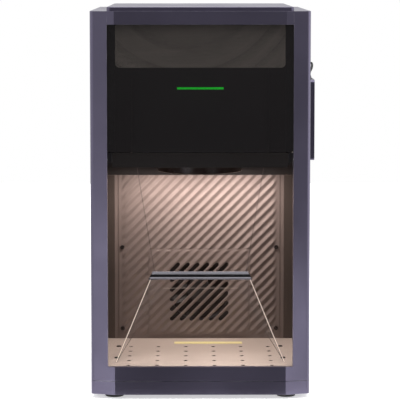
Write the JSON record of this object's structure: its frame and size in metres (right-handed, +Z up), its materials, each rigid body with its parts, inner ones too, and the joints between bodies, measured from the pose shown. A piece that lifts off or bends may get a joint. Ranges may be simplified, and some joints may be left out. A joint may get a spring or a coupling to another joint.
{
  "type": "desktop laser cutter",
  "caption": "Enclosed desktop laser cutter: tall cabinet with a tinted flip-up door, tapped work bed, lift-mounted scanning head, exhaust fan and a side touch controller.",
  "frame": {"origin": "in the standing plane, under the middle of the cabinet (300 mm wide, 390 mm deep)", "axes": "+Z up; +X to the right seen from the door; the door faces -Y"},
  "size_m": [0.315, 0.427, 0.536],
  "materials": {
    "body_paint": "satin, dark violet-grey",
    "steel_black": "matt black powder coat",
    "wall_metal": "satin grey, ribbed",
    "liner_metal": "satin grey",
    "bed_metal": "bead blasted",
    "bare_steel": "ground",
    "dark_screws": "black oxide",
    "black_plastic": "fine texture",
    "gloss_black": "gloss",
    "fascia_brown": "satin",
    "smoked_glass": "smoked",
    "door_acrylic": "clear, laser-filter tint",
    "dark_metal": "black anodised",
    "silver_metal": "machined",
    "brass": "turned",
    "lens_glass": "coated",
    "mirror": "coated",
    "rubber": "matt",
    "label_yellow": "satin",
    "status_green": "lit diffuser",
    "light_diffuser": "lit diffuser",
    "board_green": "solder mask",
    "magnet_metal": "nickel plated"
  },
  "bodies": {
    "cabinet": {"base_tray": "body_paint", "rubber_feet": "rubber", "front_frame": "body_paint", "left_side_panel": "body_paint", "right_side_panel": "body_paint", "rear_panel": "body_paint", "rear_panel_screws": "dark_screws", "top_panel": "body_paint", "top_cap": "body_paint", "bulkhead": "steel_black", "back_wall": "wall_metal", "back_wall_screws": "dark_screws", "fan_cover": "wall_metal", "chamber_liners": "liner_metal", "light_bars": "light_diffuser", "work_bed": "bed_metal", "bed_standoffs": "bare_steel", "bed_screws": "dark_screws", "bed_label": "label_yellow", "upper_window": "smoked_glass", "window_retainers": "black_plastic", "fascia_plate": "fascia_brown", "status_light": "status_green", "door_sensor": "black_plastic", "z_rails": "bare_steel", "screw_bearing": "dark_metal", "z_motor": "steel_black", "z_motor_bracket": "bare_steel", "exhaust_fan_frame": "black_plastic", "exhaust_duct": "black_plastic", "exhaust_spigot": "black_plastic", "power_supply": "silver_metal", "control_board": "board_green", "power_inlet": "black_plastic", "controller_housing": "body_paint", "controller_screen": "gloss_black", "cable_socket": "black_plastic", "controller_cable": "rubber"},
    "door": {"door_window": "door_acrylic", "door_hinge_bar": "dark_metal", "door_hinge_pins": "bare_steel", "door_grip": "dark_metal", "door_magnet": "magnet_metal"},
    "head": {"head_shell": "black_plastic", "head_lid": "black_plastic", "lens_ring": "dark_metal", "scan_lens": "lens_glass", "galvo_block": "dark_metal", "galvo_motors": "silver_metal", "laser_module": "silver_metal", "carriage": "silver_metal", "rail_blocks": "bare_steel", "lead_nut": "brass"},
    "screw": {"lead_screw": "bare_steel"},
    "mirror_x": {"galvo_mirror_x": "mirror"},
    "mirror_y": {"galvo_mirror_y": "mirror"},
    "fan": {"exhaust_fan_rotor": "black_plastic"},
    "rocker": {"power_rocker": "gloss_black"},
    "button": {"controller_button": "silver_metal"}
  },
  "joints": [
    {"name": "door_hinge", "type": "hinge", "parent": "cabinet", "child": "door", "pos_m": [0, -0.1885, 0.3287], "axis": [-1, 0, 0], "range_deg": [0, 105]},
    {"name": "head_lift", "type": "slide", "parent": "cabinet", "child": "head", "axis": [0, 0, 1], "range_m": [-0.105, 0.02]},
    {"name": "lead_screw_spin", "type": "hinge", "parent": "cabinet", "child": "screw", "pos_m": [0, 0.072, 0.4], "axis": [0, 0, 1], "range_deg": [-960, 4800]},
    {"name": "mirror_x_tilt", "type": "hinge", "parent": "head", "child": "mirror_x", "pos_m": [-0.022, -0.05, 0.3445], "axis": [0, 0, 1], "range_deg": [-12, 12]},
    {"name": "mirror_y_tilt", "type": "hinge", "parent": "head", "child": "mirror_y", "pos_m": [0, -0.05, 0.3445], "axis": [0, 1, 0], "range_deg": [-12, 12]},
    {"name": "exhaust_fan_spin", "type": "hinge", "parent": "cabinet", "child": "fan", "pos_m": [0, 0.112, 0.1083], "axis": [0, 1, 0], "continuous": true},
    {"name": "power_rocker_tilt", "type": "hinge", "parent": "cabinet", "child": "rocker", "pos_m": [-0.1, 0.1925, 0.093], "axis": [1, 0, 0], "range_deg": [-16, 0]},
    {"name": "controller_button_press", "type": "slide", "parent": "cabinet", "child": "button", "axis": [-1, 0, 0], "range_m": [0, 0.0008], "stiffness_N_per_m": 1200, "springref_m": -0.0004}
  ],
  "couplings": [
    {"joint": "lead_screw_spin", "follows": "head_lift", "rad_per_m": -785.4}
  ]
}
